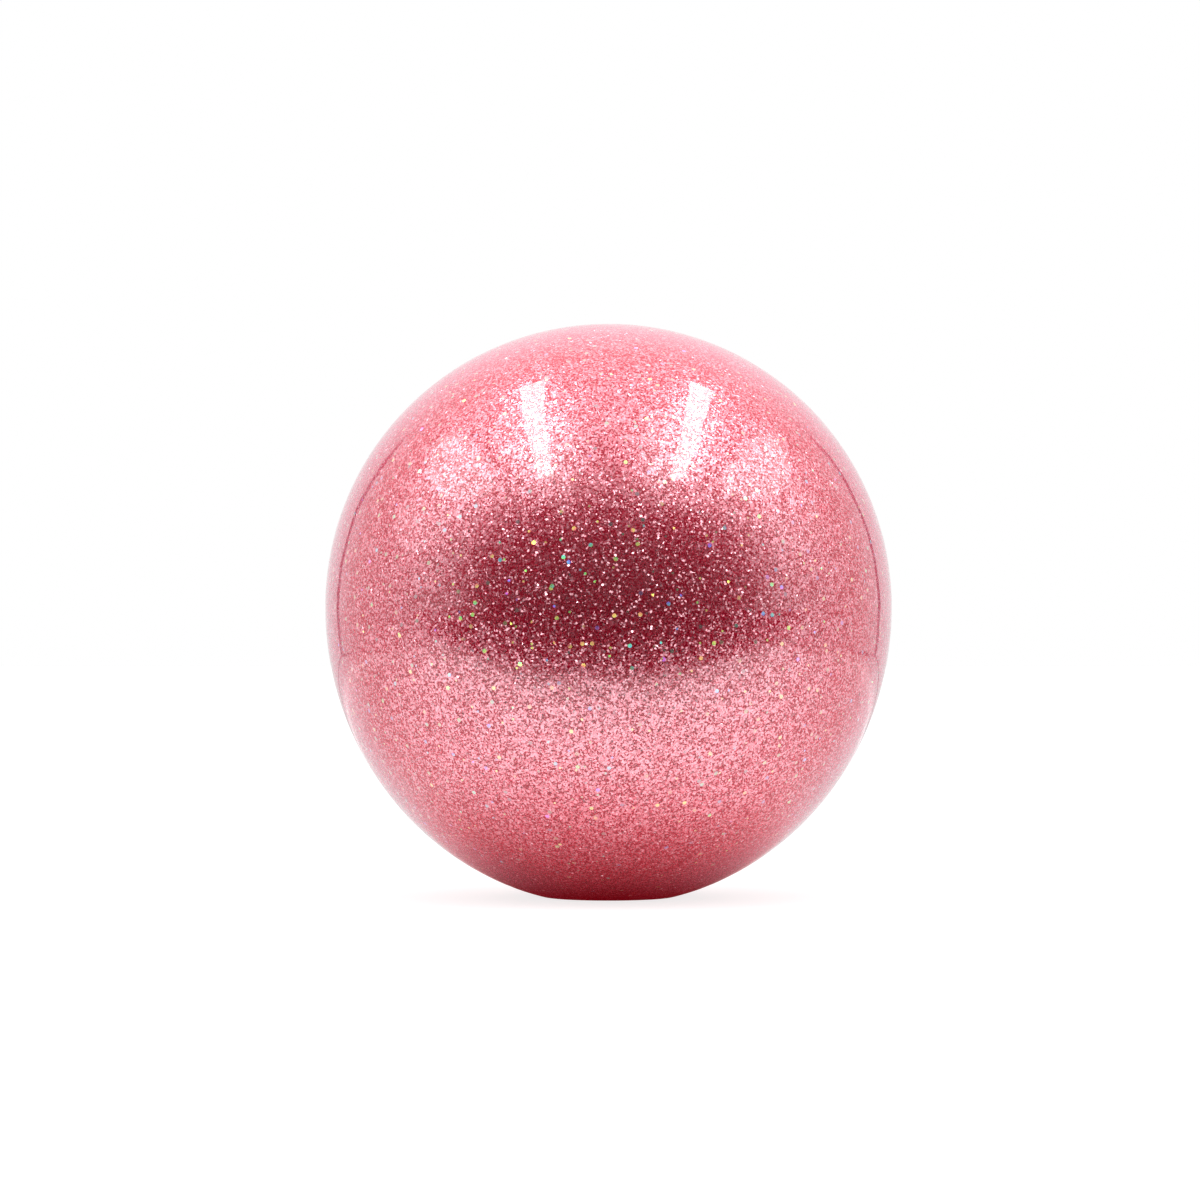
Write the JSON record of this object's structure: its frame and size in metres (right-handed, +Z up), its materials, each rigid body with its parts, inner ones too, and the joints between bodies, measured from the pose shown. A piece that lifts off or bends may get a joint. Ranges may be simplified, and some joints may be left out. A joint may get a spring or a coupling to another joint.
{
  "type": "bouncy ball",
  "caption": "Soft inflated play ball with a glitter vinyl skin, standing on its flat contact patch, with a pull-out air stopper at the back.",
  "frame": {"origin": "centre of the ball's flat contact patch, on the surface that it stands on", "axes": "+Z up through the ball's top, +Y out of the valve at the back, so the side opposite the valve faces -Y"},
  "size_m": [0.216, 0.216, 0.2185],
  "materials": {
    "glitter_skin": "clear glossy vinyl packed with pink metallic glitter and a few rainbow flakes",
    "inner_wall": "plain soft pink vinyl",
    "valve_sleeve": "soft white vinyl, satin",
    "stopper": "white moulded plastic, satin"
  },
  "bodies": {
    "ball": {"glitter_skin": "glitter_skin", "inner_wall": "inner_wall", "valve_sleeve": "valve_sleeve"},
    "stopper": {"stopper": "stopper"}
  },
  "joints": [
    {"name": "stopper_pull", "type": "slide", "parent": "ball", "child": "stopper", "axis": [0, 1, 0], "range_m": [0, 0.018]}
  ]
}
